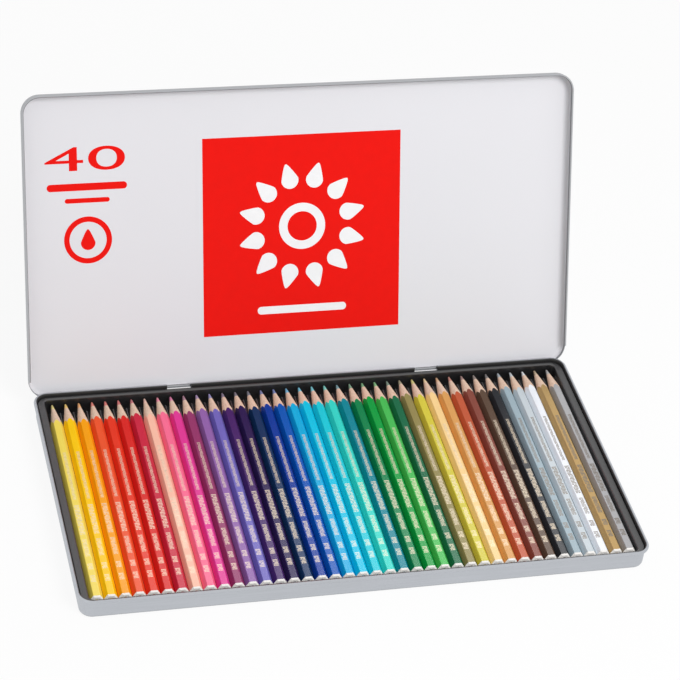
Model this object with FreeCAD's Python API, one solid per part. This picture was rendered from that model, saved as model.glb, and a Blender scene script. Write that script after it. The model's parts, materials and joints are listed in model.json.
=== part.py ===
import FreeCAD, Part
import math
import os

# A flat tin of forty hexagonal colour pencils, drawn open: a tinplate base and lid with rolled
# edges, joined by two pinned hinges, and a vacuum-formed tray whose grooves hold the pencils.
# Millimetres. Origin at the centre of the base's underside, +X along the row of pencils,
# +Y towards the hinges, +Z up. The lid leans back on its stop.

# Pencils, from the left of the row to the right
PENCIL_NAMES = [
    "light_yellow", "golden_yellow", "orange", "reddish_orange", "vermilion",
    "red", "carmine", "salmon", "pink", "fuchsia",
    "aubergine", "mauve", "periwinkle", "dark_purple", "violet_navy",
    "prussian_blue", "ultramarine", "cobalt_blue", "sky_blue", "cerulean",
    "bright_cyan", "turquoise", "teal", "emerald_green", "green",
    "light_green", "dark_green", "olive", "chartreuse", "cream_ochre",
    "tan_ochre", "rust", "red_brown", "dark_brown", "black",
    "blue_grey", "light_grey", "white", "gold", "silver",
]
ACROSS_FLATS = 7.0
PENCIL_LENGTH = 175.0
PENCIL_GAP = 0.274            # between the edges of neighbouring pencils
LEAD_DIAMETER = 2.7
GLUE_LINE = 0.01              # between the lead and its bore
SHARPENED_HALF_ANGLE = 11.5   # degrees
TIP_RADIUS = 0.2

# Tray
TRAY_SHEET = 0.6
GROOVE_CLEARANCE = 0.15       # between a pencil's lower side facets and its groove
CREST_WIDTH = 0.5             # flat top of the ridge between two grooves
SPACE_UNDER_GROOVES = 4.2
SIDE_GAP = 0.6                # from the row's end to the recess wall
FRONT_GAP = 2.2               # from the pencils' blunt ends to the recess wall
TIP_GAP = 1.4                 # from the pencils' tips to the recess wall
FRONT_WELL = 9.3
TIP_WELL = 8.3
SIDE_LEDGE = 4.5
END_LEDGE = 2.1
LEDGE_ABOVE_PENCILS = 0.3
LEDGE_BEND = 1.2
WALL_DRAFT = 0.6              # how far the recess walls lean in from the ledge to the floor
RECESS_CORNER = 3.0

# Base and lid
SHEET = 0.4
TRAY_CLEARANCE = 0.6
BASE_CORNER = 7.8
BASE_EDGE = 2.5
RIM_RADIUS = 1.1
RIM_ABOVE_LEDGE = 2.2
RIM_CURL_START = 180.0        # degrees, where the wall runs into the rolled rim
RIM_CURL_END = -60.0          # degrees, where the rim's cut edge stops
LID_GAP = 0.5                 # from the base's rim to the lid's rolled edge
LID_CURL = 0.7                # outer radius of the lid's rolled edge
LID_CURL_END = -240.0         # degrees
LID_EDGE = 3.0
LID_SKIRT = 7.5
LID_SEAT = 0.2                # from the base's rim to the closed lid
SKIRT_STEP_ROUND = 2.0        # where the side skirts step up near the hinges

# Hinges
OPEN_ANGLE = 113.0
STOP_GAP = 0.1                # from the rear skirt's edge to the rear wall, lid open
HINGE_SPACING = 163.0
KNUCKLE_WIDTH = 15.0
EAR_WIDTH = 5.0
HINGE_END_GAP = 0.2
PIN_DIAMETER = 1.0
PIN_HELD_FIT = 0.02
PIN_RUNNING_FIT = 0.06
HINGE_CLEARANCE = 0.17        # from a knuckle to the rolled rim
HINGE_DIRECTION = 47.7        # degrees below the horizontal, from the rim to the pin
NOTCH_CLEARANCE = 0.3
CUT_MARGIN = 1.0              # how far cutting solids reach past the sheet

# Row of pencils
COUNT = len(PENCIL_NAMES)
ACROSS_CORNERS = ACROSS_FLATS / math.cos(math.radians(30))
PITCH = ACROSS_CORNERS + PENCIL_GAP
ROW_HALF = (COUNT - 1) / 2 * PITCH + ACROSS_CORNERS / 2

# Tray outline, recess and heights
RECESS_X = ROW_HALF + SIDE_GAP
RECESS_Y = (FRONT_GAP + PENCIL_LENGTH + TIP_GAP) / 2
TRAY_X = RECESS_X + SIDE_LEDGE
TRAY_Y = RECESS_Y + END_LEDGE
GROOVE_Z = SHEET + SPACE_UNDER_GROOVES + TRAY_SHEET
PENCIL_Z = GROOVE_Z + ACROSS_FLATS / 2
LEDGE_Z = GROOVE_Z + ACROSS_FLATS + LEDGE_ABOVE_PENCILS

# Base walls and rim
WALL_X = TRAY_X + TRAY_CLEARANCE + SHEET
WALL_Y = TRAY_Y + TRAY_CLEARANCE + SHEET
RIM_OUT = 2 * RIM_RADIUS - SHEET          # how far the rim stands out from the wall
RIM_TOP = LEDGE_Z + RIM_ABOVE_LEDGE
RIM_Z = RIM_TOP - RIM_RADIUS

# Hinge pin
PIN_RADIUS = PIN_DIAMETER / 2
KNUCKLE_BORE = PIN_RADIUS + PIN_RUNNING_FIT
KNUCKLE_RADIUS = KNUCKLE_BORE + SHEET
EAR_BORE = PIN_RADIUS + PIN_HELD_FIT
EAR_RADIUS = EAR_BORE + SHEET
PIN_FROM_RIM = RIM_RADIUS + KNUCKLE_RADIUS + HINGE_CLEARANCE
HINGE_Y = WALL_Y + RIM_RADIUS - SHEET + PIN_FROM_RIM * math.cos(math.radians(HINGE_DIRECTION))
HINGE_Z = RIM_Z - PIN_FROM_RIM * math.sin(math.radians(HINGE_DIRECTION))
KNUCKLE_SLOT = KNUCKLE_WIDTH + 2 * HINGE_END_GAP
HINGE_SLOT = KNUCKLE_SLOT + 2 * (EAR_WIDTH + HINGE_END_GAP)
HINGE_CENTRES = {"left": -HINGE_SPACING / 2, "right": HINGE_SPACING / 2}

# Lid, closed
LID_OUT = RIM_OUT + LID_GAP + 2 * LID_CURL   # how far the lid stands out from the base's wall
LID_X = WALL_X + LID_OUT
LID_Y = WALL_Y + LID_OUT
LID_CORNER = BASE_CORNER + LID_OUT
LID_TOP = RIM_TOP + LID_SEAT + SHEET
LID_BOTTOM = LID_TOP - LID_SKIRT
# The rear skirt ends where its outer edge meets the rear wall as the lid reaches its stop
OPEN = math.radians(OPEN_ANGLE)
REAR_SKIRT_Z = HINGE_Z + (WALL_Y + STOP_GAP - HINGE_Y - (LID_Y - HINGE_Y) * math.cos(OPEN)) / math.sin(OPEN)

ORIGIN = FreeCAD.Vector(0, 0, 0)
X_AXIS = FreeCAD.Vector(1, 0, 0)
Y_AXIS = FreeCAD.Vector(0, 1, 0)
Z_AXIS = FreeCAD.Vector(0, 0, 1)


def in_xz(across, up):
    """A point of a section drawn across X."""
    return FreeCAD.Vector(across, 0, up)


def in_yz(across, up):
    """A point of a section drawn across Y."""
    return FreeCAD.Vector(0, across, up)


def on_circle(centre, radius, degrees):
    """The point of a section at that angle on a circle."""
    turn = math.radians(degrees)
    return (centre[0] + radius * math.cos(turn), centre[1] + radius * math.sin(turn))


def section(place, start, *steps):
    """A closed face from a start point and steps: a point for a line, or (middle, end) for an arc."""
    edges = []
    here = start
    for step in steps + (start,):
        if isinstance(step[0], tuple):
            middle, end = step
            edges.append(Part.Arc(place(*here), place(*middle), place(*end)).toShape())
        else:
            end = step
            edges.append(Part.LineSegment(place(*here), place(*end)).toShape())
        here = end
    return Part.Face(Part.Wire(edges))


def one_solid(first, *others):
    """The first shape fused with the others, with faces that continue each other joined."""
    return first.multiFuse(list(others)).removeSplitter().Solids[0]


def box(low, high):
    """A box between two corners given as (x, y, z)."""
    sizes = [top - bottom for bottom, top in zip(low, high)]
    return Part.makeBox(*sizes, FreeCAD.Vector(*low))


def rod(radius, start, end):
    """A round bar along X at the hinge axis."""
    return Part.makeCylinder(radius, end - start, FreeCAD.Vector(start, HINGE_Y, HINGE_Z), X_AXIS)


def slab(half_x, half_y, corner, bottom, top):
    """A flat plate with rounded corners."""
    run_x = half_x - corner
    run_y = half_y - corner
    plate = [
        box((-half_x, -run_y, bottom), (half_x, run_y, top)),
        box((-run_x, -half_y, bottom), (run_x, half_y, top)),
    ]
    for x in (-run_x, run_x):
        for y in (-run_y, run_y):
            plate.append(Part.makeCylinder(corner, top - bottom, FreeCAD.Vector(x, y, bottom)))
    return one_solid(*plate)


def ring(face, half_x, half_y, corner):
    """A section in XZ, its x measured outwards from the edge, taken round a rounded rectangle."""
    run_x = half_x - corner
    run_y = half_y - corner
    sides = [(half_x, run_y), (half_y, run_x)] * 2
    corners = [(run_x, run_y), (-run_x, run_y), (-run_x, -run_y), (run_x, -run_y)]
    pieces = []
    for quarter, (out, run) in enumerate(sides):
        side = face.translated(FreeCAD.Vector(out, -run, 0)).extrude(Y_AXIS * (2 * run))
        side.rotate(ORIGIN, Z_AXIS, 90 * quarter)
        turn = face.translated(FreeCAD.Vector(corner, 0, 0)).revolve(ORIGIN, Z_AXIS, 90)
        turn.rotate(ORIGIN, Z_AXIS, 90 * quarter)
        turn.translate(FreeCAD.Vector(*corners[quarter], 0))
        pieces += [side, turn]
    return one_solid(*pieces)


def base_section():
    """The base's sheet from the floor's edge, round the bottom bend and up to the rolled rim."""
    bend = (-BASE_EDGE, BASE_EDGE)
    curl = (RIM_RADIUS - SHEET, RIM_Z)
    middle = (RIM_CURL_START + RIM_CURL_END) / 2
    inner = RIM_RADIUS - SHEET
    return section(
        in_xz,
        (-BASE_EDGE, 0),
        (on_circle(bend, BASE_EDGE, -45), (0, BASE_EDGE)),
        on_circle(curl, inner, RIM_CURL_START),
        (on_circle(curl, inner, middle), on_circle(curl, inner, RIM_CURL_END)),
        on_circle(curl, RIM_RADIUS, RIM_CURL_END),
        (on_circle(curl, RIM_RADIUS, middle), on_circle(curl, RIM_RADIUS, RIM_CURL_START)),
        (-SHEET, BASE_EDGE),
        (on_circle(bend, BASE_EDGE - SHEET, -45), (-BASE_EDGE, SHEET)),
    )


def hinge_ear(start, end):
    """A tongue of the rear wall, bent outwards and rolled round the pin."""
    web_bottom = HINGE_Z - EAR_RADIUS
    web = box((start, WALL_Y - SHEET / 2, web_bottom), (end, HINGE_Y, web_bottom + SHEET))
    ear = one_solid(web, rod(EAR_RADIUS, start, end))
    return ear.cut(rod(EAR_BORE, start, end))


def base_pan():
    """The tin's base: floor, walls with a rolled rim, notches and ears for the two hinges."""
    floor = slab(WALL_X - BASE_EDGE, WALL_Y - BASE_EDGE, BASE_CORNER - BASE_EDGE, 0, SHEET)
    walls = ring(base_section(), WALL_X, WALL_Y, BASE_CORNER)
    pan = one_solid(walls, floor)
    notch_bottom = HINGE_Z - KNUCKLE_RADIUS - NOTCH_CLEARANCE
    ears = []
    for centre in HINGE_CENTRES.values():
        left = centre - KNUCKLE_SLOT / 2
        right = centre + KNUCKLE_SLOT / 2
        pan = pan.cut(box(
            (left, WALL_Y - SHEET - CUT_MARGIN, notch_bottom),
            (right, WALL_Y + RIM_OUT + CUT_MARGIN, RIM_TOP + CUT_MARGIN),
        ))
        ears.append(hinge_ear(left - EAR_WIDTH, left))
        ears.append(hinge_ear(right, right + EAR_WIDTH))
    return one_solid(pan, *ears)


def hinge_pin(centre):
    """A straight wire through the two ears of the base and the lid's knuckle between them."""
    half = KNUCKLE_SLOT / 2 + EAR_WIDTH
    return rod(PIN_RADIUS, centre - half, centre + half)


def lid_section():
    """The lid's sheet from the panel's edge, round the bend and down to the edge rolled inwards."""
    bend = (-LID_EDGE, LID_TOP - LID_EDGE)
    curl = (-LID_CURL, LID_BOTTOM + LID_CURL)
    middle = LID_CURL_END / 2
    inner = LID_CURL - SHEET
    return section(
        in_xz,
        (-LID_EDGE, LID_TOP),
        (on_circle(bend, LID_EDGE, 45), (0, bend[1])),
        (0, curl[1]),
        (on_circle(curl, LID_CURL, middle), on_circle(curl, LID_CURL, LID_CURL_END)),
        on_circle(curl, inner, LID_CURL_END),
        (on_circle(curl, inner, middle), (-SHEET, curl[1])),
        (-SHEET, bend[1]),
        (on_circle(bend, LID_EDGE - SHEET, 45), (-LID_EDGE, LID_TOP - SHEET)),
    )


def rear_skirt_cut():
    """What is cut from the skirt at the rear and its corners, so that the lid can lean back."""
    front = LID_Y - LID_CORNER
    back = LID_Y + CUT_MARGIN
    bottom = LID_BOTTOM - CUT_MARGIN
    rounding = (front + SKIRT_STEP_ROUND, REAR_SKIRT_Z - SKIRT_STEP_ROUND)
    face = section(
        in_yz,
        (front, bottom),
        (back, bottom),
        (back, REAR_SKIRT_Z),
        (rounding[0], REAR_SKIRT_Z),
        (on_circle(rounding, SKIRT_STEP_ROUND, 135), (front, rounding[1])),
    )
    reach = LID_X + CUT_MARGIN
    return face.translated(X_AXIS * -reach).extrude(X_AXIS * (2 * reach))


def lid_knuckle(centre):
    """A tongue of the rear skirt, bent inwards and rolled round the pin."""
    start = centre - KNUCKLE_WIDTH / 2
    end = centre + KNUCKLE_WIDTH / 2
    web_top = HINGE_Z + KNUCKLE_RADIUS
    web = box((start, HINGE_Y, web_top - SHEET), (end, LID_Y - SHEET / 2, web_top))
    knuckle = one_solid(web, rod(KNUCKLE_RADIUS, start, end))
    return knuckle.cut(rod(KNUCKLE_BORE, start, end))


def lid_pan():
    """The lid, made closed and then turned back to its stop."""
    panel = slab(LID_X - LID_EDGE, LID_Y - LID_EDGE, LID_CORNER - LID_EDGE, LID_TOP - SHEET, LID_TOP)
    pan = one_solid(ring(lid_section(), LID_X, LID_Y, LID_CORNER), panel).cut(rear_skirt_cut())
    knuckles = []
    for centre in HINGE_CENTRES.values():
        pan = pan.cut(box(
            (centre - HINGE_SLOT / 2, HINGE_Y + KNUCKLE_RADIUS, LID_BOTTOM),
            (centre + HINGE_SLOT / 2, LID_Y + CUT_MARGIN, HINGE_Z + KNUCKLE_BORE),
        ))
        knuckles.append(lid_knuckle(centre))
    lid = one_solid(pan, *knuckles)
    lid.rotate(FreeCAD.Vector(0, HINGE_Y, HINGE_Z), X_AXIS, -OPEN_ANGLE)
    return lid


def pencil_x(index):
    """The place of a pencil in the row."""
    return (index - (COUNT - 1) / 2) * PITCH


def groove_line(half_floor, floor_z, crest_half):
    """Points of a grooved surface from one recess wall to the other, with 60-degree groove sides."""
    rise = math.tan(math.radians(60))
    crest = PITCH / 2 - crest_half
    crest_z = floor_z + (crest - half_floor) * rise
    end_z = floor_z + (RECESS_X - pencil_x(COUNT - 1) - half_floor) * rise
    points = [(-RECESS_X, end_z)]
    for index in range(COUNT):
        x = pencil_x(index)
        if index > 0 and crest_half > 0:
            points.append((x - crest, crest_z))
        points += [(x - half_floor, floor_z), (x + half_floor, floor_z)]
        if index < COUNT - 1:
            points.append((x + crest, crest_z))
    return points + [(RECESS_X, end_z)]


def across_tray(points, start, end):
    """A section across X, drawn through the points, taken along Y from start to end."""
    outline = [FreeCAD.Vector(x, start, z) for x, z in points + points[:1]]
    return Part.Face(Part.makePolygon(outline)).extrude(Y_AXIS * (end - start))


def tray_wall_section():
    """The tray's sheet from the recess floor, up the wall and over the bend to the ledge."""
    bend = (LEDGE_BEND, LEDGE_Z - LEDGE_BEND)
    return section(
        in_xz,
        (-WALL_DRAFT, SHEET),
        (TRAY_SHEET - WALL_DRAFT, SHEET),
        (TRAY_SHEET, bend[1]),
        (on_circle(bend, LEDGE_BEND - TRAY_SHEET, 135), (LEDGE_BEND, LEDGE_Z - TRAY_SHEET)),
        (LEDGE_BEND, LEDGE_Z),
        (on_circle(bend, LEDGE_BEND, 135), (0, bend[1])),
    )


def pencil_tray():
    """The vacuum-formed tray: ledge, recess walls, grooved land and a well at each end of it."""
    corner = BASE_CORNER - SHEET - TRAY_CLEARANCE
    ledge = slab(TRAY_X, TRAY_Y, corner, LEDGE_Z - TRAY_SHEET, LEDGE_Z)
    opening = slab(
        RECESS_X + LEDGE_BEND, RECESS_Y + LEDGE_BEND, RECESS_CORNER + LEDGE_BEND, LEDGE_Z - TRAY_SHEET, LEDGE_Z
    )
    walls = ring(tray_wall_section(), RECESS_X, RECESS_Y, RECESS_CORNER)
    land_front = -RECESS_Y + FRONT_WELL
    land_back = RECESS_Y - TIP_WELL
    half_facet = ACROSS_CORNERS / 4
    half_floor = half_facet + GROOVE_CLEARANCE / math.sin(math.radians(60))
    top = groove_line(half_floor, GROOVE_Z, CREST_WIDTH / 2)
    under = groove_line(half_floor + TRAY_SHEET * math.tan(math.radians(30)), GROOVE_Z - TRAY_SHEET, 0)
    end_wall = top + [(RECESS_X, SHEET), (-RECESS_X, SHEET)]
    floor = slab(RECESS_X, RECESS_Y, RECESS_CORNER, SHEET, SHEET + TRAY_SHEET)
    return one_solid(
        ledge.cut(opening),
        walls,
        floor.cut(box((-RECESS_X, land_front, 0), (RECESS_X, land_back, LEDGE_Z))),
        across_tray(top + under[::-1], land_front, land_back),
        across_tray(end_wall, land_front, land_front + TRAY_SHEET),
        across_tray(end_wall, land_back - TRAY_SHEET, land_back),
    )


def pencil():
    """A sharpened hexagonal pencil with a flat facet up: the wooden casing and the lead in its bore."""
    start = -RECESS_Y + FRONT_GAP
    centre = FreeCAD.Vector(0, start, PENCIL_Z)
    corners = []
    for turn in range(0, 420, 60):
        x, z = on_circle((0, PENCIL_Z), ACROSS_CORNERS / 2, turn)
        corners.append(FreeCAD.Vector(x, start, z))
    blank = Part.Face(Part.makePolygon(corners)).extrude(Y_AXIS * PENCIL_LENGTH)
    widest = TIP_RADIUS + PENCIL_LENGTH * math.tan(math.radians(SHARPENED_HALF_ANGLE))
    sharpener = Part.makeCone(widest, TIP_RADIUS, PENCIL_LENGTH, centre, Y_AXIS)
    lead = Part.makeCylinder(LEAD_DIAMETER / 2, PENCIL_LENGTH, centre, Y_AXIS).common(sharpener)
    bore = Part.makeCylinder(LEAD_DIAMETER / 2 + GLUE_LINE, PENCIL_LENGTH, centre, Y_AXIS)
    casing = blank.common(sharpener).cut(bore)
    return Part.makeCompound([casing.Solids[0], lead.Solids[0]])


def main():
    os.makedirs("parts", exist_ok=True)
    pieces = {"base_pan": base_pan(), "lid_pan": lid_pan(), "pencil_tray": pencil_tray()}
    for side, centre in HINGE_CENTRES.items():
        pieces["hinge_pin_" + side] = hinge_pin(centre)
    model = pencil()
    for index, name in enumerate(PENCIL_NAMES):
        pieces["pencil_%02d_%s" % (index + 1, name)] = model.translated(X_AXIS * pencil_x(index))
    for node, shape in pieces.items():
        shape.exportStep("parts/" + node + ".step")


main()
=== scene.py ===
import json
import math

import bmesh
import bpy
from mathutils import Euler, Matrix, Vector

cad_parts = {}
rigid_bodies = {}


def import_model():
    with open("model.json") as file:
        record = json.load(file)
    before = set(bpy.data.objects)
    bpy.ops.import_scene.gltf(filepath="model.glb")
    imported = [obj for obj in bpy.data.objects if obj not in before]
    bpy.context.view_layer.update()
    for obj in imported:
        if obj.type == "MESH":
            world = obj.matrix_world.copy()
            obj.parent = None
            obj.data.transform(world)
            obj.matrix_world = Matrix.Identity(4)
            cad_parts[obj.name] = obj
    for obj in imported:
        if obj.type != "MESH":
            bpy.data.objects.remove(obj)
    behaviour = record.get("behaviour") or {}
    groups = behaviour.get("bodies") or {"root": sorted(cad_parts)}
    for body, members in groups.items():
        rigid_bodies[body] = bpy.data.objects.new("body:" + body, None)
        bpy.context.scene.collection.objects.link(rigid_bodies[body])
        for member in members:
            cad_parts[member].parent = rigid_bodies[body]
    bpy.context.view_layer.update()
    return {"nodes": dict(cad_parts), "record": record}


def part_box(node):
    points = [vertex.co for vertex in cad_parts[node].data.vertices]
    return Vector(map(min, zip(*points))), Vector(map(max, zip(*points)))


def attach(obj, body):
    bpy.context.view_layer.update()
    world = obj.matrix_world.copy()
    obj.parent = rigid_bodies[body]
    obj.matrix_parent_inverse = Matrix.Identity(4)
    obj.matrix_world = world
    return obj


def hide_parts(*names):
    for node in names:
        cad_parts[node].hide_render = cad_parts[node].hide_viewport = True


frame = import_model()
record = frame["record"]

bl_info = {
    "name": "Pencil Tin",
    "version": (1, 0, 0),
    "blender": (4, 5, 0),
    "location": "View3D > Sidebar > Pencil Tin",
    "description": "Dresses an open tin of colour pencils and sets its stage",
    "category": "Object",
}

PENCIL_NODES = sorted(
    name for name in frame["nodes"] if name.startswith("pencil_") and name != "pencil_tray"
)
SLOT_OF_NODE = {entry["node"]: entry["material_slot"] for entry in record["subparts"]}
COLOUR_OF_SLOT = {entry["slot"]: entry["base_color"][:3] for entry in record["materials"]}
LID_HINGE = next(joint for joint in record["behaviour"]["joints"] if joint["name"] == "lid_hinge")
METALLIC_PENCILS = ("gold", "silver")
PALE_PENCILS = ("blue_grey", "light_grey", "white", "gold", "silver")
MM = 0.001
METAL_FLAKE = 0.25            # how metallic the gold and silver lacquers are
LEAD_SPECKLE = 0.3            # how much the leads' paleness varies, as a share
SPREAD_TURN = 2.4             # radians from pencil to pencil in the wave that varies the cones
STROKE_ROUND = 0.48           # rounding of a stroke's ends, as a share of its width
DROP_POINT = 0.9              # how much longer a drop's point is than its round end, as a share
DROP_WAIST = 0.45             # how much a drop narrows towards its point, as a share
FOOT_SHADE_HEIGHT = 2.2 * MM        # up to where painted shade darkens the base's foot
LACQUER_EDGE = 2.6 * MM       # how far the white lacquer reaches up the bend round the lid's face
LACQUER_FADE = 0.3 * MM       # over which the white lacquer ends
LACQUER_ROUGHNESS = 0.42
FACET_CUTS = 7                # cuts across each facet, so that the scallops are smooth curves
EDGE_STEPS = 3                # steps round a pencil's long edge
CORNER_STEPS = 6              # steps round a printed bar's corner
DROP_STEPS = 32               # steps round a printed drop
RING_STEPS = 64               # steps round a printed ring
WELD_DISTANCE = 0.0001 * MM   # under which points of the print are joined
FLOOR_CELLS = 4               # cells along each side of the floor
SENSOR_WIDTH = 36.0           # camera sensor in millimetres
CLIP_START = 0.05             # nearest that the camera sees, in metres
CLIP_END = 30.0               # farthest that the camera sees, in metres


def length(name, description, value):
    """A size in metres that a user may change."""
    return bpy.props.FloatProperty(
        name=name, description=description, default=value, min=0.0, precision=5, unit="LENGTH"
    )


def angle(name, description, degrees):
    """An angle that a user may change."""
    return bpy.props.FloatProperty(
        name=name, description=description, default=math.radians(degrees),
        subtype="ANGLE", unit="ROTATION",
    )


def colour(name, description, value):
    """A colour that a user may change."""
    return bpy.props.FloatVectorProperty(
        name=name, description=description, default=value, size=3, min=0.0, max=1.0, subtype="COLOR"
    )


def level(name, description, value):
    """A strength, power or share that a user may change."""
    return bpy.props.FloatProperty(name=name, description=description, default=value, min=0.0)


def place(name, description, value):
    """A place in the row frame that a user may change."""
    return bpy.props.FloatVectorProperty(
        name=name, description=description, default=value, size=3, subtype="TRANSLATION", unit="LENGTH"
    )


class PencilSizes(bpy.types.PropertyGroup):
    """Sizes of one pencil and of the foil marks on it."""
    across_flats: length("Across flats", "Width of the hexagon between two facets", 7.0 * MM)
    widening: level("Widening", "Width across the side edges, as a share of a regular hexagon's", 1.021)
    edge_round: length("Edge rounding", "How far the lacquered edges are rounded", 0.14 * MM)
    lead_paleness: level("Lead paleness", "How much paler the lead looks than the lacquer", 0.24)
    lead_diameter: length("Lead diameter", "Diameter of the coloured lead", 2.7 * MM)
    half_angle: angle("Sharpened half angle", "Half the angle of the sharpened cone", 9.6)
    cone_spread: level("Cone spread", "How much the cones' angles vary, as a share", 0.05)
    tip_radius: length("Tip radius", "Radius of the worn tip", 0.5 * MM)
    end_round: length("End rounding", "How far the lacquer is worn back at the blunt end", 0.8 * MM)
    foil_lift: length("Foil lift", "How far the foil stands off the lacquer", 0.02 * MM)
    foil_sheer: level("Foil sheerness", "Share of the lacquer that shows through the foil", 0.3)


class PencilTinColours(bpy.types.PropertyGroup):
    """Colours of the tin, the tray, the print and the pencils' bare parts."""
    tinplate: colour("Tinplate", "Bare satin tinplate", (0.53, 0.55, 0.585))
    # Painted shade: the skirt's inner side is a much darker copy of the tinplate, and its outer side and
    # rolled edge a somewhat darker one
    lid_edge: colour("Lid edge", "Bare inner side of the lid's skirt", (0.26, 0.265, 0.275))
    lid_skirt: colour("Lid skirt", "Bare outer side and rolled edge of the skirt", (0.46, 0.47, 0.49))
    # Painted shade and reflection: near black for the base's inward-facing walls, where the bare
    # tinplate lies in shade and mirrors the black tray
    dark_inside: colour("Dark inside", "Lacquer on the inner side of the base", (0.02, 0.02, 0.02))
    lid_white: colour("Lid white", "Lacquer inside the lid", (0.71, 0.705, 0.735))
    print_red: colour("Print red", "Red ink inside the lid", (0.79, 0.005, 0.002))
    print_white: colour("Print white", "White ink on the red panel", (0.84, 0.84, 0.85))
    tray: colour("Tray", "Black vacuum-formed sheet", (0.010, 0.010, 0.011))
    wood: colour("Wood", "Sharpened wood", (0.87, 0.65, 0.505))
    wood_dark: colour("Wood grain", "Darker lines in the sharpened wood", (0.70, 0.48, 0.35))
    end_wood: colour("End grain", "Pale end grain at the blunt ends", (0.97, 0.95, 0.92))
    end_wood_dark: colour("End grain lines", "Darker lines in the end grain", (0.86, 0.82, 0.77))
    chalk: colour("Chalk", "Filler that makes the leads paler than the lacquer", (0.94, 0.89, 0.87))
    foil: colour("Foil", "Stamped foil marks", (0.80, 0.69, 0.53))
    dark_foil: colour("Dark foil", "Stamped marks on the palest pencils", (0.24, 0.21, 0.18))
    wire: colour("Hinge wire", "Drawn steel wire of the hinge pins", (0.16, 0.16, 0.17))
    floor: colour("Floor", "Pale floor", (0.90, 0.90, 0.90))


class LidPrintSizes(bpy.types.PropertyGroup):
    """Where the print lies in the lid: across from its middle, and up from the hinge axis."""
    lean: angle("Lean", "How far the open lid leans back from upright", 23.0)
    lid_middle: length("Lid middle", "From the hinge axis to the middle of the lid", 94.6 * MM)
    panel_depth: length("Panel depth", "From the hinge axis to the lid's inner face", 2.9494 * MM)
    ink_lift: length("Ink lift", "How far the ink stands off the lacquer", 0.02 * MM)
    square: length("Panel size", "Side of the red panel", 128.0 * MM)
    square_up: length("Panel height", "Middle of the red panel", 94.0 * MM)
    wheel_up: length("Wheel height", "Middle of the ring of drops", 99.0 * MM)
    wheel_radius: length("Wheel radius", "From the wheel's centre to the middle of a drop", 31.0 * MM)
    wheel_drops: bpy.props.IntProperty(
        name="Drops", description="How many drops the wheel has", default=12, min=3
    )
    wheel_drop: length("Drop radius", "Radius of a drop's round end", 5.6 * MM)
    hub_radius: length("Hub radius", "Outer radius of the ring in the wheel", 15.0 * MM)
    hub_hole: length("Hub hole", "Inner radius of the ring in the wheel", 9.5 * MM)
    stroke_up: length("Stroke height", "Middle of the white stroke under the wheel", 45.0 * MM)
    stroke_length: length("Stroke length", "Length of the white stroke", 58.0 * MM)
    stroke_width: length("Stroke width", "Width of the white stroke", 5.0 * MM)
    column_left: length("Column left", "From the lid's middle to the number's left edge", 162.6 * MM)
    column_middle: length("Column middle", "From the lid's middle to that of the bars", 136.6 * MM)
    number_up: length("Number height", "Foot of the number", 141.5 * MM)
    number_tall: length("Number size", "Height of the number", 15.1 * MM)
    number_wide: length("Number width", "Width of the number", 50.0 * MM)
    bar_up: length("Long bar height", "Middle of the long bar", 131.4 * MM)
    bar_length: length("Long bar length", "Length of the long bar", 50.0 * MM)
    bar_width: length("Long bar width", "Width of the long bar", 4.6 * MM)
    short_bar_up: length("Short bar height", "Middle of the short bar", 122.8 * MM)
    short_bar_length: length("Short bar length", "Length of the short bar", 28.0 * MM)
    short_bar_width: length("Short bar width", "Width of the short bar", 3.0 * MM)
    badge_up: length("Badge height", "Middle of the round badge", 97.6 * MM)
    badge_radius: length("Badge radius", "Outer radius of the round badge", 15.0 * MM)
    badge_hole: length("Badge hole", "Inner radius of the round badge", 11.6 * MM)
    badge_drop: length("Badge drop radius", "Radius of the round end of the badge's drop", 4.6 * MM)
    badge_drop_down: length("Badge drop shift", "How far it lies below the badge's middle", 1.8 * MM)


class StageSizes(bpy.types.PropertyGroup):
    """Camera and lights."""
    camera_place: place("Camera place", "Where the camera stands", (-0.385926, -1.154085, 1.075057))
    camera_turn: bpy.props.FloatVectorProperty(
        name="Camera turn", description="Camera rotation", size=3, subtype="EULER", unit="ROTATION",
        default=(math.radians(51.53196), math.radians(-5.94217), math.radians(-13.36698)),
    )
    lens: bpy.props.FloatProperty(
        name="Lens", description="Focal length on a 36 mm sensor", default=138.93, unit="CAMERA"
    )
    world_level: level("World level", "Strength of the world's light", 0.50)
    key_place: place("Key place", "Where the key light hangs", (0.55, -1.2, 1.4))
    key_size: length("Key size", "Diameter of the key light", 1.1)
    key_power: level("Key power", "Power of the key light in watts", 25.0)
    card_place: place("Card place", "Where the card hangs that the pencils mirror", (0.45, 1.15, 1.25))
    card_size: length("Card size", "Diameter of the bright card", 0.9)
    card_power: level("Card power", "Power of the bright card in watts", 30.0)
    flake_card_power: level("Flake card power", "The same in watts for pencils with metal flake", 3.0)
    floor_glow: level("Floor glow", "Share of plain white in the floor as the camera sees it", 0.9)
    floor_size: length("Floor size", "Side of the floor", 8.0)


def pencil_colour_properties():
    """One colour property for each pencil, its default taken from the packed record."""
    made = {}
    for node in PENCIL_NODES:
        words = node[len("pencil_00_"):].replace("_", " ")
        made[node] = colour(words.capitalize(), "Lacquer and lead of the " + words + " pencil",
                            COLOUR_OF_SLOT[SLOT_OF_NODE[node]])
    return made


PencilColours = type("PencilColours", (bpy.types.PropertyGroup,), {
    "__doc__": "Lacquer and lead colours, one for each pencil.",
    "__annotations__": pencil_colour_properties(),
})


# Node helpers for the materials

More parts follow.
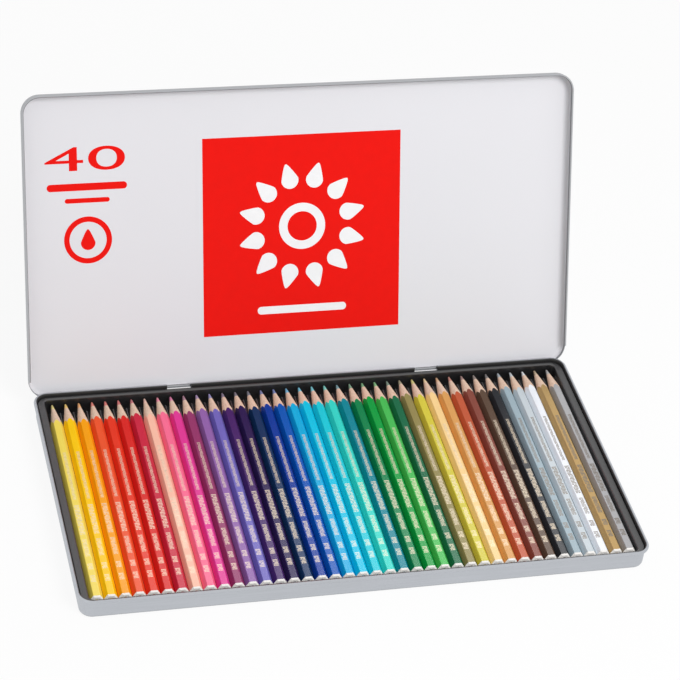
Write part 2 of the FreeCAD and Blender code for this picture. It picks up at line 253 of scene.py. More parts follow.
class Shader:
    """A material with one Principled shader, and short ways to feed its sockets."""

    def __init__(self, name):
        self.material = bpy.data.materials.new(name)
        self.material.use_nodes = True
        self.nodes = self.material.node_tree.nodes
        self.links = self.material.node_tree.links
        self.surface = self.nodes["Principled BSDF"]

    def set(self, **values):
        """Sets the shader's own sockets: a node socket is linked, anything else is a value."""
        for socket, value in values.items():
            target = self.surface.inputs[socket.replace("_", " ").title().replace("Ior", "IOR")]
            if isinstance(value, bpy.types.NodeSocket):
                self.links.new(value, target)
            else:
                target.default_value = value
        return self

    def node(self, kind, **values):
        """A node of that kind with some of its settings."""
        made = self.nodes.new(kind)
        for key, value in values.items():
            setattr(made, key, value)
        return made

    def place(self, stretch=(1, 1, 1)):
        """Object coordinates, stretched."""
        mapping = self.node("ShaderNodeMapping")
        mapping.inputs["Scale"].default_value = stretch
        self.links.new(self.node("ShaderNodeTexCoord").outputs["Object"], mapping.inputs["Vector"])
        return mapping.outputs["Vector"]

    def along(self, vector, direction):
        """How far a vector reaches along a direction."""
        made = self.node("ShaderNodeVectorMath", operation="DOT_PRODUCT")
        self.links.new(vector, made.inputs[0])
        if isinstance(direction, bpy.types.NodeSocket):
            self.links.new(direction, made.inputs[1])
        else:
            made.inputs[1].default_value = direction
        return made.outputs["Value"]

    def outward(self, centre, halves):
        """A vector that points from a centre to the sides, about one long where the piece ends."""
        shares = Vector(1 / half if half else 0.0 for half in halves)
        made = self.node("ShaderNodeVectorMath", operation="MULTIPLY_ADD")
        self.links.new(self.node("ShaderNodeTexCoord").outputs["Object"], made.inputs[0])
        made.inputs[1].default_value = shares
        made.inputs[2].default_value = -Vector(centre) * shares
        return made.outputs["Vector"]

    def combined(self, operation, first, second):
        """Two numbers combined by an operation."""
        made = self.node("ShaderNodeMath", operation=operation)
        self.links.new(first, made.inputs[0])
        self.links.new(second, made.inputs[1])
        return made.outputs[0]

    def noise(self, scale, detail=3.0, stretch=(1, 1, 1)):
        """Noise at that many waves per metre."""
        made = self.node("ShaderNodeTexNoise")
        made.inputs["Scale"].default_value = scale
        made.inputs["Detail"].default_value = detail
        self.links.new(self.place(stretch), made.inputs["Vector"])
        return made.outputs["Fac"]

    def ranged(self, value, low, high, start=0.0, end=1.0):
        """Takes start to end in the value to low to high."""
        made = self.node("ShaderNodeMapRange")
        self.links.new(value, made.inputs["Value"])
        made.inputs["From Min"].default_value = start
        made.inputs["From Max"].default_value = end
        made.inputs["To Min"].default_value = low
        made.inputs["To Max"].default_value = high
        return made.outputs["Result"]

    def mixed(self, factor, first, second):
        """A colour between two, each a colour or a node socket."""
        made = self.node("ShaderNodeMix", data_type="RGBA")
        self.links.new(factor, made.inputs["Factor"])
        for socket, value in ((made.inputs[6], first), (made.inputs[7], second)):
            if isinstance(value, bpy.types.NodeSocket):
                self.links.new(value, socket)
            else:
                socket.default_value = (*value, 1.0)
        return made.outputs[2]

    def shaded(self, tint, factor, low, high):
        """A colour made lighter or darker by a factor."""
        scale = self.node("ShaderNodeVectorMath", operation="SCALE")
        if isinstance(tint, bpy.types.NodeSocket):
            self.links.new(tint, scale.inputs[0])
        else:
            scale.inputs[0].default_value = tint
        self.links.new(self.ranged(factor, low, high), scale.inputs["Scale"])
        return scale.outputs[0]

    def bump(self, height, strength, distance):
        """A bump from a height, its depth in metres."""
        made = self.node("ShaderNodeBump")
        made.inputs["Strength"].default_value = strength
        made.inputs["Distance"].default_value = distance
        self.links.new(height, made.inputs["Height"])
        return made.outputs["Normal"]

    def attribute(self, name):
        """The colour or number stored on the mesh under that name."""
        return self.node("ShaderNodeAttribute", attribute_name=name)


# Materials

def base_finish(tint, dark, halves):
    """Satin tinplate with faint rolling lines, scuffed at its foot and lacquered dark inside."""
    shader = Shader("base_tinplate")
    coords = shader.node("ShaderNodeTexCoord")
    outward = shader.along(coords.outputs["Normal"], shader.outward((0, 0, 0), halves))
    # Painted shade: walls that face inwards take the near-black colour in place of the tinplate's shade
    # and dark reflection
    inside = shader.ranged(outward, 1.0, 0.0, start=-0.6, end=-0.1)
    height = shader.along(coords.outputs["Object"], (0, 0, 1))
    # Painted shade: the tinplate darkens towards the base's foot, standing in for the shadow where the
    # tin meets the floor
    foot = shader.ranged(height, 0.0, 1.0, start=0.0, end=FOOT_SHADE_HEIGHT)
    lines = shader.noise(900, 2.0, (0.03, 1, 1))
    patches = shader.noise(25, 4.0)
    sheet = shader.shaded(shader.shaded(tint, lines, 0.93, 1.07), patches, 0.94, 1.05)
    metal = shader.shaded(sheet, foot, 0.35, 1.0)
    return shader.set(
        base_color=shader.mixed(inside, metal, dark),
        metallic=shader.ranged(inside, 1.0, 0.0),
        roughness=shader.ranged(patches, 0.46, 0.56),
        normal=shader.bump(lines, 0.12, 0.04 * MM),
    ).material


def lid_finish(tint, edge, skirt, white, inside, centre, halves):
    """White lacquer on the lid's inner face and the bend round it, bare tinplate elsewhere."""
    shader = Shader("lid_lacquer_and_tinplate")
    coords = shader.node("ShaderNodeTexCoord")
    facing = shader.along(coords.outputs["Normal"], inside)
    outward = shader.along(coords.outputs["Normal"], shader.outward(centre, halves))
    depth = shader.along(coords.outputs["Object"], inside)
    edge_depth = inside.dot(centre) + LACQUER_EDGE
    on_face = shader.ranged(depth, 1.0, 0.0, start=edge_depth - LACQUER_FADE, end=edge_depth)
    turned_in = shader.ranged(shader.combined("SUBTRACT", facing, outward), 0.0, 1.0, start=0.3, end=0.6)
    lacquered = shader.combined("MULTIPLY", on_face, turned_in)
    patches = shader.noise(12, 4.0)
    lines = shader.noise(700, 3.0, (0.02, 1, 1))
    top = shader.shaded(shader.shaded(tint, lines, 0.86, 1.12), patches, 0.90, 1.09)
    # Painted shade: skirt sides facing inwards take the darkest tinplate colour, those facing out a less
    # dark one
    side = shader.mixed(shader.ranged(outward, 0.0, 1.0, start=-0.8, end=-0.2), edge, skirt)
    metal = shader.mixed(shader.ranged(facing, 1.0, 0.0, start=-0.9, end=-0.4), side, top)
    paint = shader.shaded(white, patches, 0.985, 1.01)
    bare_roughness = shader.ranged(patches, 0.40, 0.58)
    return shader.set(
        base_color=shader.mixed(lacquered, metal, paint),
        metallic=shader.ranged(lacquered, 0.75, 0.0),
        roughness=shader.mixed(lacquered, bare_roughness, (LACQUER_ROUGHNESS,) * 3),
        normal=shader.bump(lines, 0.08, 0.03 * MM),
    ).material


def tray_plastic(tint):
    """Black vacuum-formed sheet: a fine grain and a dull gloss."""
    shader = Shader("tray_plastic")
    grain = shader.noise(2600, 2.0)
    patches = shader.noise(40, 3.0)
    return shader.set(
        base_color=shader.shaded(tint, patches, 0.8, 1.3),
        roughness=shader.ranged(patches, 0.34, 0.48),
        ior=1.7,
        specular_ior_level=0.8,
        normal=shader.bump(grain, 0.2, 0.04 * MM),
    ).material


def lacquer():
    """Gloss pencil lacquer in the pencil's own colour, a little uneven along its length."""
    shader = Shader("pencil_lacquer")
    ripple = shader.noise(500, 3.0, (1, 0.12, 1))
    pigment = shader.attribute("pigment")
    return shader.set(
        base_color=shader.shaded(pigment.outputs["Color"], ripple, 0.93, 1.06),
        metallic=shader.attribute("flake").outputs["Fac"],
        roughness=shader.ranged(ripple, 0.26, 0.38),
        specular_ior_level=0.08,
        normal=shader.bump(ripple, 0.10, 0.06 * MM),
    ).material


def bare_wood(tint, dark):
    """Sharpened wood with grain along the pencil."""
    shader = Shader("bare_wood")
    grain = shader.noise(2400, 4.0, (1, 0.05, 1))
    return shader.set(
        base_color=shader.mixed(shader.ranged(grain, 0.0, 1.0, start=0.35, end=0.75), tint, dark),
        roughness=0.72,
        normal=shader.bump(grain, 0.35, 0.08 * MM),
    ).material


def end_grain(tint, dark):
    """Pale end grain: fine pores across the cut."""
    shader = Shader("end_grain")
    pores = shader.noise(3200, 3.0)
    return shader.set(
        base_color=shader.mixed(shader.ranged(pores, 0.0, 1.0, start=0.45, end=0.8), tint, dark),
        roughness=0.75,
        normal=shader.bump(pores, 0.3, 0.05 * MM),
    ).material


def coloured_lead(chalk, paleness):
    """The chalky coloured lead, a paler shade of the pencil's own colour."""
    shader = Shader("coloured_lead")
    specks = shader.noise(3000, 3.0)
    share = shader.ranged(specks, (1 - LEAD_SPECKLE) * paleness, (1 + LEAD_SPECKLE) * paleness)
    return shader.set(
        base_color=shader.mixed(share, shader.attribute("pigment").outputs["Color"], chalk),
        roughness=shader.ranged(specks, 0.42, 0.62),
        normal=shader.bump(specks, 0.25, 0.06 * MM),
    ).material


def foil():
    """Stamped foil in the colour kept on the mesh, with a slightly worn gloss."""
    shader = Shader("stamped_foil")
    wear = shader.noise(420, 3.0)
    return shader.set(
        base_color=shader.shaded(shader.attribute("stamp").outputs["Color"], wear, 0.55, 1.3),
        metallic=0.1,
        roughness=shader.ranged(wear, 0.35, 0.55),
        specular_ior_level=0.1,
    ).material


def ink(name, tint):
    """Printing ink on the lid's lacquer."""
    shader = Shader(name)
    mottle = shader.noise(160, 4.0)
    return shader.set(
        base_color=shader.shaded(tint, mottle, 0.95, 1.05),
        roughness=shader.ranged(mottle, 0.40, 0.50),
        specular_ior_level=0.15,
    ).material


def drawn_wire(tint):
    """Drawn steel wire with lines along it."""
    shader = Shader("drawn_wire")
    lines = shader.noise(3000, 2.0, (0.02, 1, 1))
    return shader.set(
        base_color=shader.shaded(tint, lines, 0.85, 1.1),
        metallic=1.0,
        roughness=0.3,
        normal=shader.bump(lines, 0.15, 0.03 * MM),
    ).material


# Mesh helpers

def finished(name, mesh_maker, materials, body):
    """An object at the origin from a bmesh, riding on a body."""
    mesh = bpy.data.meshes.new(name)
    mesh_maker.to_mesh(mesh)
    mesh_maker.free()
    for material in materials:
        mesh.materials.append(material)
    piece = bpy.data.objects.new(name, mesh)
    bpy.context.scene.collection.objects.link(piece)
    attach(piece, body)
    return piece


def repaint(node, material):
    """Gives a CAD node's object a material."""
    for entry in frame["nodes"][node].material_slots:
        entry.material = material


def grown_ring(bm, ring, material_index, sharp):
    """Extrudes a ring of edges in place; gives the new ring's edges and vertices, to be moved."""
    made = bmesh.ops.extrude_edge_only(bm, edges=ring)["geom"]
    faces = [item for item in made if isinstance(item, bmesh.types.BMFace)]
    verts = [item for item in made if isinstance(item, bmesh.types.BMVert)]
    edges = [edge for edge in {edge for vert in verts for edge in vert.link_edges}
             if all(vert in verts for vert in edge.verts)]
    for face in faces:
        face.material_index = material_index
        face.smooth = True
    for edge in ring:
        edge.smooth = not sharp
    return edges, verts


def capped(bm, ring, material_index):
    """Closes a ring of edges with one face."""
    for face in bmesh.ops.contextual_create(bm, geom=ring)["faces"]:
        face.material_index = material_index


def flat_square(bm, spot):
    """A flat square with sides of one, put in place by a matrix; gives its vertices."""
    return bmesh.ops.create_grid(bm, x_segments=1, y_segments=1, size=0.5, matrix=spot)["verts"]


def to_radius(verts, radius, along):
    """Moves a ring's vertices to a circle about Y at that place along it."""
    for vert in verts:
        out = Vector((vert.co.x, 0, vert.co.z)).normalized() * radius
        vert.co = Vector((out.x, along, out.z))


def hexagon_outline(sizes):
    """A bmesh with one flat face: the pencil's hexagon across Y, a facet up, its corners rounded."""
    bm = bmesh.new()
    turn = Matrix.Rotation(math.radians(90), 4, "X") @ Matrix.Rotation(math.radians(90), 4, "Z")
    corner = sizes.across_flats / math.sqrt(3)
    bmesh.ops.create_circle(bm, cap_ends=True, segments=6, radius=corner, matrix=turn)
    bmesh.ops.bevel(
        bm, geom=bm.verts[:], offset=sizes.edge_round, segments=EDGE_STEPS, profile=0.5,
        affect="VERTICES", material=-1,
    )
    # The flats are the edges that the rounding left long
    flats = [edge for edge in bm.edges if edge.calc_length() > sizes.across_flats / 3]
    bmesh.ops.subdivide_edges(bm, edges=flats, cuts=FACET_CUTS)
    bmesh.ops.scale(bm, vec=Vector((sizes.widening, 1, 1)), verts=bm.verts[:])
    return bm


# Places of a pencil's materials in its list
LACQUER, WOOD, END, LEAD, FOIL = range(5)
# Rings that round the worn tip: radius, and place behind the tip, as shares of the tip's radius
TIP_RINGS = ((1.1, 0.6), (0.85, 0.2), (0.45, 0.0))


def pencil_form(sizes, start, tip, half_angle):
    """A sharpened pencil along Y, from its blunt end to its tip, about the Y axis."""
    bm = hexagon_outline(sizes)
    slope = math.tan(half_angle)
    lead = sizes.lead_diameter / 2
    bmesh.ops.delete(bm, geom=bm.faces[:], context="FACES_ONLY")
    outer = bm.edges[:]
    for vert in bm.verts:
        vert.co.y = start + sizes.end_round
    # Blunt end: worn edge, end grain and the lead's disc
    edges, verts = grown_ring(bm, outer, END, True)
    end_share = 1 - 2 * sizes.end_round / sizes.across_flats
    bmesh.ops.scale(bm, vec=Vector((1, 0, 1)) * end_share, verts=verts)
    for vert in verts:
        vert.co.y = start
    edges, verts = grown_ring(bm, edges, END, True)
    to_radius(verts, lead, start)
    capped(bm, edges, LEAD)
    # Lacquered length, ending in the scallops that sharpening leaves on each facet
    edges, verts = grown_ring(bm, outer, LACQUER, True)
    for vert in verts:
        out = math.hypot(vert.co.x, vert.co.z)
        vert.co.y = tip - (out - sizes.tip_radius) / slope
    # Sharpened cone: wood, then the lead down to its tip
    edges, verts = grown_ring(bm, edges, WOOD, True)
    to_radius(verts, lead, tip - (lead - sizes.tip_radius) / slope)
    for wide, behind in TIP_RINGS:
        edges, verts = grown_ring(bm, edges, LEAD, (wide, behind) == TIP_RINGS[0])
        to_radius(verts, wide * sizes.tip_radius, tip - behind * sizes.tip_radius)
    capped(bm, edges, LEAD)
    bmesh.ops.recalc_face_normals(bm, faces=bm.faces[:])
    return bm


# Foil marks in mm: where each group starts behind the tip, its count, the length, gap and height
# across the facet of its marks, and their slant
FOIL_GROUPS = (
    (49.0, 41, 0.65, 0.40, 1.9, 0.0),
    (97.0, 20, 0.85, 0.45, 3.0, 0.0),
    (127.0, 14, 0.65, 0.40, 2.6, 0.5),
    (147.5, 5, 0.70, 0.35, 2.9, 0.0),
    (157.5, 5, 0.75, 0.40, 2.8, 0.0),
)
# Each mark is one or two bars: their middle and height across the facet, as shares of the group's height
MARK_BARS = (
    ((0.0, 1.0),),
    ((-0.28, 0.42), (0.28, 0.42)),
    ((0.12, 0.76),),
    ((0.0, 1.0),),
    ((-0.34, 0.32), (0.2, 0.6)),
    ((-0.1, 0.8),),
)


def add_mark(bm, middle, wide, long, slant):
    """One flat foil bar about its middle."""
    slanted = Matrix.Shear("XY", 4, (0, slant))
    spot = Matrix.Translation(middle) @ slanted @ Matrix.Diagonal((wide, long, 1, 1))
    verts = flat_square(bm, spot)
    for face in {face for vert in verts for face in vert.link_faces}:
        face.material_index = FOIL


def add_foil(bm, sizes, tip):
    """Short stamped marks in a line down the upper facet."""
    top = sizes.across_flats / 2 + sizes.foil_lift
    for behind, count, long, gap, tall, slant in FOIL_GROUPS:
        for step in range(count):
            along = tip - (behind + step * (long + gap) + long / 2) * MM
            for across, share in MARK_BARS[step % len(MARK_BARS)]:
                add_mark(bm, (across * tall * MM, along, top), tall * share * MM, long * MM, slant)


def store_colour(mesh, name, tint):
    """Keeps a colour on the mesh under that name."""
    kept = mesh.color_attributes.new(name, "FLOAT_COLOR", "POINT")
    kept.data.foreach_set("color", [*tint, 1.0] * len(mesh.vertices))


def store_share(mesh, name, share):
    """Keeps a number on the mesh under that name."""
    kept = mesh.attributes.new(name, "FLOAT", "POINT")
    kept.data.foreach_set("value", [share] * len(mesh.vertices))


def lid_plane(sizes):
    """Takes x, height up the lid and lift off its inner face to the row frame."""
    hinge = Vector(LID_HINGE["pos_m"])
    up = Vector((0, math.sin(sizes.lean), math.cos(sizes.lean)))
    off = Vector((0, -math.cos(sizes.lean), math.sin(sizes.lean)))
    start = Vector((0, hinge.y, hinge.z)) - off * sizes.panel_depth
    return Matrix((
        (1, 0, 0, start.x),
        (0, up.y, off.y, start.y),
        (0, up.z, off.z, start.z),
        (0, 0, 0, 1),
    ))


class PENCILTIN_OT_tin(bpy.types.Operator):
    """Finishes the tin: base, lid and hinge pins"""
    bl_idname = "pencil_tin.tin"
    bl_label = "Finish tin"

    def execute(self, context):
        colours = context.scene.pencil_tin_colours
        print_sizes = context.scene.pencil_tin_print
        plane = lid_plane(print_sizes)
        centre = plane @ Vector((0, print_sizes.lid_middle, 0))
        inside = plane.to_3x3() @ Vector((0, 0, 1))
        halves = (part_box("lid_pan")[1][0], print_sizes.lid_middle, print_sizes.lid_middle)
        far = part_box("base_pan")[1]
        repaint("base_pan", base_finish(colours.tinplate, colours.dark_inside, (far[0], far[1], 0)))
        repaint("lid_pan", lid_finish(
            colours.tinplate, colours.lid_edge, colours.lid_skirt, colours.lid_white,
            inside, centre, halves,
        ))
        wire = drawn_wire(colours.wire)
        for side in ("left", "right"):
            repaint("hinge_pin_" + side, wire)
        return {"FINISHED"}


class PENCILTIN_OT_tray(bpy.types.Operator):
    """Finishes the grooved tray"""
    bl_idname = "pencil_tin.tray"
    bl_label = "Finish tray"

    def execute(self, context):
        repaint("pencil_tray", tray_plastic(context.scene.pencil_tin_colours.tray))
        return {"FINISHED"}


class PENCILTIN_OT_pencils(bpy.types.Operator):
    """Makes the row of pencils in place of their plain solids"""
    bl_idname = "pencil_tin.pencils"
    bl_label = "Make pencils"

    def execute(self, context):
        scene = context.scene
        sizes = scene.pencil_tin_pencil
        colours = scene.pencil_tin_colours
        materials = [
            lacquer(),
            bare_wood(colours.wood, colours.wood_dark),
            end_grain(colours.end_wood, colours.end_wood_dark),
            coloured_lead(colours.chalk, sizes.lead_paleness),
            foil(),
        ]
        for index, node in enumerate(PENCIL_NODES):
            low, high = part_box(node)
            spread = 1 + sizes.cone_spread * math.sin(SPREAD_TURN * index)
            form = pencil_form(sizes, low[1], high[1], sizes.half_angle * spread)
            add_foil(form, sizes, high[1])
            middle = Vector(((low[0] + high[0]) / 2, 0, (low[2] + high[2]) / 2))
            bmesh.ops.translate(form, vec=middle, verts=form.verts[:])
            piece = finished("drawn_" + node, form, materials, node[:len("pencil_00")])
            pigment = Vector(getattr(scene.pencil_tin_pencil_colours, node))
            stamp = Vector(colours.foil).lerp(pigment, sizes.foil_sheer)
            if node.endswith(PALE_PENCILS):
                stamp = Vector(colours.dark_foil)
            store_colour(piece.data, "pigment", pigment)
            store_colour(piece.data, "stamp", stamp)
            store_share(piece.data, "flake", METAL_FLAKE if node.endswith(METALLIC_PENCILS) else 0.0)
            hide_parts(node)
        return {"FINISHED"}


# Lid print

def add_bar(bm, across, up, wide, tall, lift, rounding):
    """A flat bar about its middle, its corners rounded."""
    spot = Matrix.Translation((across, up, lift)) @ Matrix.Diagonal((wide, tall, 1, 1))
    verts = flat_square(bm, spot)
    if rounding > 0:
        bmesh.ops.bevel(
            bm, geom=verts, offset=rounding, segments=CORNER_STEPS, profile=0.5,
            affect="VERTICES", material=-1,
        )


def add_stroke(bm, across, up, long, wide, lift):
    """A flat stroke with round ends, about its middle."""
    add_bar(bm, across, up, long, wide, lift, STROKE_ROUND * wide)


def add_drop(bm, across, up, turn, radius, lift):
    """A flat drop with its point outwards along turn."""
    spot = Matrix.Translation((across, up, lift)) @ Matrix.Rotation(turn, 4, "Z")
    verts = bmesh.ops.create_circle(bm, cap_ends=True, segments=DROP_STEPS, radius=radius)["verts"]
    for vert in verts:
        if vert.co.x > 0:
            vert.co.x *= 1.0 + DROP_POINT * vert.co.x / radius
            vert.co.y *= 1.0 - DROP_WAIST * vert.co.x / ((1.0 + DROP_POINT) * radius)
    bmesh.ops.transform(bm, matrix=spot, verts=verts)


def add_ring(bm, across, up, outer, inner, lift):
    """A flat ring."""
    spot = Matrix.Translation((across, up, lift))
    made = bmesh.ops.create_circle(bm, cap_ends=False, segments=RING_STEPS, radius=outer, matrix=spot)
    edges = list({edge for vert in made["verts"] for edge in vert.link_edges})
    grown = bmesh.ops.extrude_edge_only(bm, edges=edges)["geom"]
    inside = [item for item in grown if isinstance(item, bmesh.types.BMVert)]
    bmesh.ops.scale(bm, vec=Vector((inner / outer, inner / outer, 1)), verts=inside,
                    space=Matrix.Translation((-across, -up, 0)))


def add_number(bm, words, left, foot, tall, wide, lift):
    """Plain figures as a flat mesh, fitted to a height and a width."""
    curve = bpy.data.curves.new("lid_number", "FONT")
    curve.body = words
    holder = bpy.data.objects.new("lid_number", curve)
    mesh = bpy.data.meshes.new_from_object(holder)
    bpy.data.objects.remove(holder)
    bpy.data.curves.remove(curve)
    figures = bmesh.new()
    figures.from_mesh(mesh)
    bpy.data.meshes.remove(mesh)
    xs = [vert.co.x for vert in figures.verts]
    ys = [vert.co.y for vert in figures.verts]
    scale = Vector((wide / (max(xs) - min(xs)), tall / (max(ys) - min(ys)), 1))
    bmesh.ops.translate(figures, vec=(-min(xs), -min(ys), 0), verts=figures.verts[:])
    bmesh.ops.scale(figures, vec=scale, verts=figures.verts[:])
    bmesh.ops.translate(figures, vec=(left, foot, lift), verts=figures.verts[:])
    placed = bpy.data.meshes.new("lid_number_placed")
    figures.to_mesh(placed)
    figures.free()
    bm.from_mesh(placed)
    bpy.data.meshes.remove(placed)


def on_lid(name, bm, sizes, material):
    """Turns a flat print to face out of the lid and lays it on the lid's inner face."""
    bmesh.ops.remove_doubles(bm, verts=bm.verts[:], dist=WELD_DISTANCE)
    for face in bm.faces:
        face.normal_update()
        if face.normal.z < 0:
            face.normal_flip()
    bmesh.ops.transform(bm, matrix=lid_plane(sizes), verts=bm.verts[:])
    piece = finished(name, bm, [material], "lid")


def panel_print(sizes):
    """The square panel."""
    panel = bmesh.new()
    add_bar(panel, 0, sizes.square_up, sizes.square, sizes.square, sizes.ink_lift, 0)
    return panel


def wheel_print(sizes):
    """The ring of drops on the panel, the ring in its middle and the stroke under it."""
    wheel = bmesh.new()
    lift = 2 * sizes.ink_lift
    for step in range(sizes.wheel_drops):
        turn = (step + 0.5) * math.tau / sizes.wheel_drops
        across = sizes.wheel_radius * math.cos(turn)
        up = sizes.wheel_up + sizes.wheel_radius * math.sin(turn)
        add_drop(wheel, across, up, turn, sizes.wheel_drop, lift)
    add_ring(wheel, 0, sizes.wheel_up, sizes.hub_radius, sizes.hub_hole, lift)
    add_stroke(wheel, 0, sizes.stroke_up, sizes.stroke_length, sizes.stroke_width, lift)
    return wheel


def number_print(sizes):
    """The number and the two bars under it."""
    number = bmesh.new()
    lift = sizes.ink_lift
    middle = -sizes.column_middle
    add_number(
        number, "40", -sizes.column_left, sizes.number_up, sizes.number_tall, sizes.number_wide, lift
    )
    add_stroke(number, middle, sizes.bar_up, sizes.bar_length, sizes.bar_width, lift)
    add_stroke(
        number, middle, sizes.short_bar_up, sizes.short_bar_length, sizes.short_bar_width, lift
    )
    return number


def badge_print(sizes):
    """The round badge with an upright drop."""
    badge = bmesh.new()
    lift = sizes.ink_lift
    middle = -sizes.column_middle
    drop_up = sizes.badge_up - sizes.badge_drop_down
    add_ring(badge, middle, sizes.badge_up, sizes.badge_radius, sizes.badge_hole, lift)
    add_drop(badge, middle, drop_up, math.pi / 2, sizes.badge_drop, lift)
    return badge


class PENCILTIN_OT_lid_print(bpy.types.Operator):
    """Prints the inside of the lid: a red panel with a ring of drops, a number, bars and a badge"""
    bl_idname = "pencil_tin.lid_print"
    bl_label = "Print lid"

    def execute(self, context):
        sizes = context.scene.pencil_tin_print
        colours = context.scene.pencil_tin_colours
        red = ink("print_red_ink", colours.print_red)
        white = ink("print_white_ink", colours.print_white)
        on_lid("lid_print_panel", panel_print(sizes), sizes, red)
        on_lid("lid_print_wheel", wheel_print(sizes), sizes, white)
        on_lid("lid_print_number", number_print(sizes), sizes, red)
        on_lid("lid_print_badge", badge_print(sizes), sizes, red)
        return {"FINISHED"}


# Stage

def seen_rays(nodes, links):
    """One where a ray shows a thing to the camera, straight, mirrored or through glass; else zero."""
    path = nodes.new("ShaderNodeLightPath")
    seen = path.outputs["Is Camera Ray"]
    for ray in ("Is Glossy Ray", "Is Transmission Ray"):
        either = nodes.new("ShaderNodeMath")
        either.operation = "MAXIMUM"
        links.new(seen, either.inputs[0])
        links.new(path.outputs[ray], either.inputs[1])
        seen = either.outputs[0]
    return seen


def pale_floor(tint, glow):
    """A pale floor that the camera sees nearly white, with the object's shadow on it."""
    shader = Shader("pale_floor")
    shader.set(
        base_color=shader.shaded(tint, shader.noise(3, 2.0), 0.99, 1.01),
        roughness=0.9,
    )
    share = shader.ranged(seen_rays(shader.nodes, shader.links), 0.0, glow)
    white = shader.node("ShaderNodeEmission")
    mix = shader.node("ShaderNodeMixShader")
    shader.links.new(share, mix.inputs[0])
    shader.links.new(shader.surface.outputs[0], mix.inputs[1])
    shader.links.new(white.outputs[0], mix.inputs[2])
    shader.links.new(mix.outputs[0], shader.nodes["Material Output"].inputs["Surface"])
    return shader.material


def white_world(light):
    """An even white world: full white where it is seen or mirrored, and a plain level of light."""
    world = bpy.data.worlds.new("studio_white")
    world.use_nodes = True
    nodes = world.node_tree.nodes
    links = world.node_tree.links
    strength = nodes.new("ShaderNodeMapRange")
    strength.inputs["To Min"].default_value = light
    strength.inputs["To Max"].default_value = 1.0
    links.new(seen_rays(nodes, links), strength.inputs["Value"])
    nodes["Background"].inputs["Color"].default_value = (1, 1, 1, 1)
    links.new(strength.outputs["Result"], nodes["Background"].inputs["Strength"])
    bpy.context.scene.world = world


def soft_light(name, spot, size, power):
    """A large soft area light aimed at the tin."""
    lamp = bpy.data.lights.new(name, "AREA")
    lamp.shape = "DISK"
    lamp.size = size
    lamp.energy = power
    holder = bpy.data.objects.new(name, lamp)
    holder.location = spot
    holder.rotation_euler = (-Vector(spot)).to_track_quat("-Z", "Y").to_euler()
    bpy.context.scene.collection.objects.link(holder)
    return holder


def bright_card(name, sizes, power, metallic):
    """A card of light that only the pencils with or without metal flake mirror."""
    kept = bpy.data.collections.new(name + "_pencils")
    for node in PENCIL_NODES:
        if node.endswith(METALLIC_PENCILS) == metallic:
            kept.objects.link(bpy.data.objects["drawn_" + node])
    card = soft_light(name, sizes.card_place, sizes.card_size, power)
    card.visible_diffuse = False
    card.light_linking.receiver_collection = kept


def add_floor(scene, sizes, tint):
    """The floor that the tin stands on."""
    bm = bmesh.new()
    bmesh.ops.create_grid(bm, x_segments=FLOOR_CELLS, y_segments=FLOOR_CELLS, size=sizes.floor_size / 2)
    mesh = bpy.data.meshes.new("floor")
    bm.to_mesh(mesh)
    bm.free()
    mesh.materials.append(pale_floor(tint, sizes.floor_glow))
    floor = bpy.data.objects.new("floor", mesh)
    scene.collection.objects.link(floor)


def add_camera(scene, sizes):
    """The camera, placed as in the photograph."""
    camera = bpy.data.cameras.new("photo_camera")
    camera.lens = sizes.lens
    camera.sensor_width = SENSOR_WIDTH
    camera.clip_start = CLIP_START
    camera.clip_end = CLIP_END
    holder = bpy.data.objects.new("photo_camera", camera)
    holder.location = sizes.camera_place
    holder.rotation_euler = Euler(sizes.camera_turn, "XYZ")
    scene.collection.objects.link(holder)
    scene.camera = holder


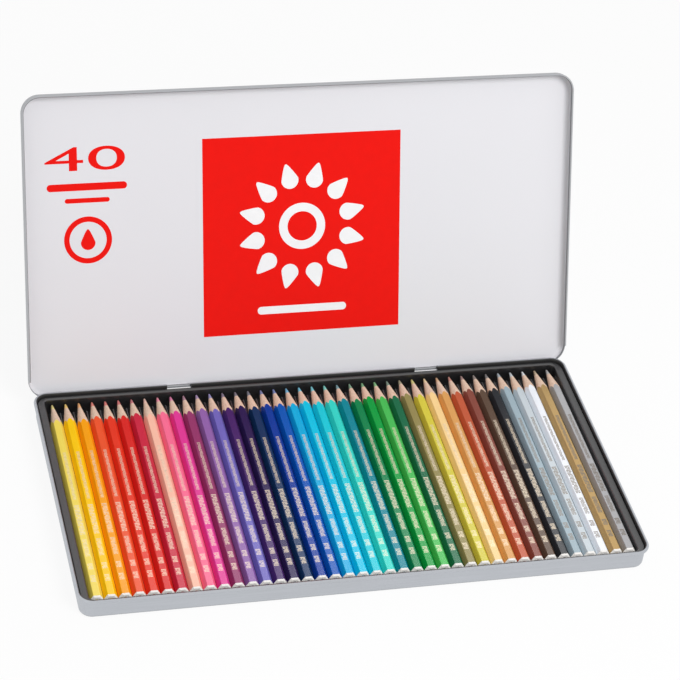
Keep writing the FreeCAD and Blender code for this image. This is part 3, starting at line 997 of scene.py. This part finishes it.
class PENCILTIN_OT_stage(bpy.types.Operator):
    """Sets the floor, the lights and the camera"""
    bl_idname = "pencil_tin.stage"
    bl_label = "Set stage"

    def execute(self, context):
        scene = context.scene
        sizes = scene.pencil_tin_stage
        add_floor(scene, sizes, scene.pencil_tin_colours.floor)
        white_world(sizes.world_level)
        key = soft_light("key_light", sizes.key_place, sizes.key_size, sizes.key_power)
        key.visible_glossy = False
        bright_card("gloss_card", sizes, sizes.card_power, False)
        bright_card("flake_card", sizes, sizes.flake_card_power, True)
        add_camera(scene, sizes)
        scene.view_settings.view_transform = "Standard"
        return {"FINISHED"}


# Panel and registration

class PENCILTIN_PT_panel(bpy.types.Panel):
    """Lists the steps that dress the tin"""
    bl_idname = "PENCILTIN_PT_panel"
    bl_label = "Pencil Tin"
    bl_space_type = "VIEW_3D"
    bl_region_type = "UI"
    bl_category = "Pencil Tin"

    def draw(self, context):
        for operator in OPERATORS:
            self.layout.operator(operator.bl_idname)
        for name in SETTINGS:
            group = getattr(context.scene, name)
            column = self.layout.column(align=True)
            for key in group.__annotations__:
                column.prop(group, key)


OPERATORS = (
    PENCILTIN_OT_tin,
    PENCILTIN_OT_tray,
    PENCILTIN_OT_pencils,
    PENCILTIN_OT_lid_print,
    PENCILTIN_OT_stage,
)
SETTINGS = {
    "pencil_tin_pencil": PencilSizes,
    "pencil_tin_colours": PencilTinColours,
    "pencil_tin_pencil_colours": PencilColours,
    "pencil_tin_print": LidPrintSizes,
    "pencil_tin_stage": StageSizes,
}


def register():
    """Adds the settings, the operators and the panel."""
    for group in SETTINGS.values():
        bpy.utils.register_class(group)
    for name, group in SETTINGS.items():
        setattr(bpy.types.Scene, name, bpy.props.PointerProperty(type=group))
    for cls in (*OPERATORS, PENCILTIN_PT_panel):
        bpy.utils.register_class(cls)


def unregister():
    """Takes the panel, the operators and the settings out again."""
    for cls in (PENCILTIN_PT_panel, *reversed(OPERATORS)):
        bpy.utils.unregister_class(cls)
    for name, group in reversed(SETTINGS.items()):
        delattr(bpy.types.Scene, name)
        bpy.utils.unregister_class(group)


def main():
    """Dresses the tin, sets the stage and writes the part's size."""
    register()
    bpy.ops.pencil_tin.tin()
    bpy.ops.pencil_tin.tray()
    bpy.ops.pencil_tin.pencils()
    bpy.ops.pencil_tin.lid_print()
    bpy.ops.pencil_tin.stage()


if __name__ == "__main__":
    main()
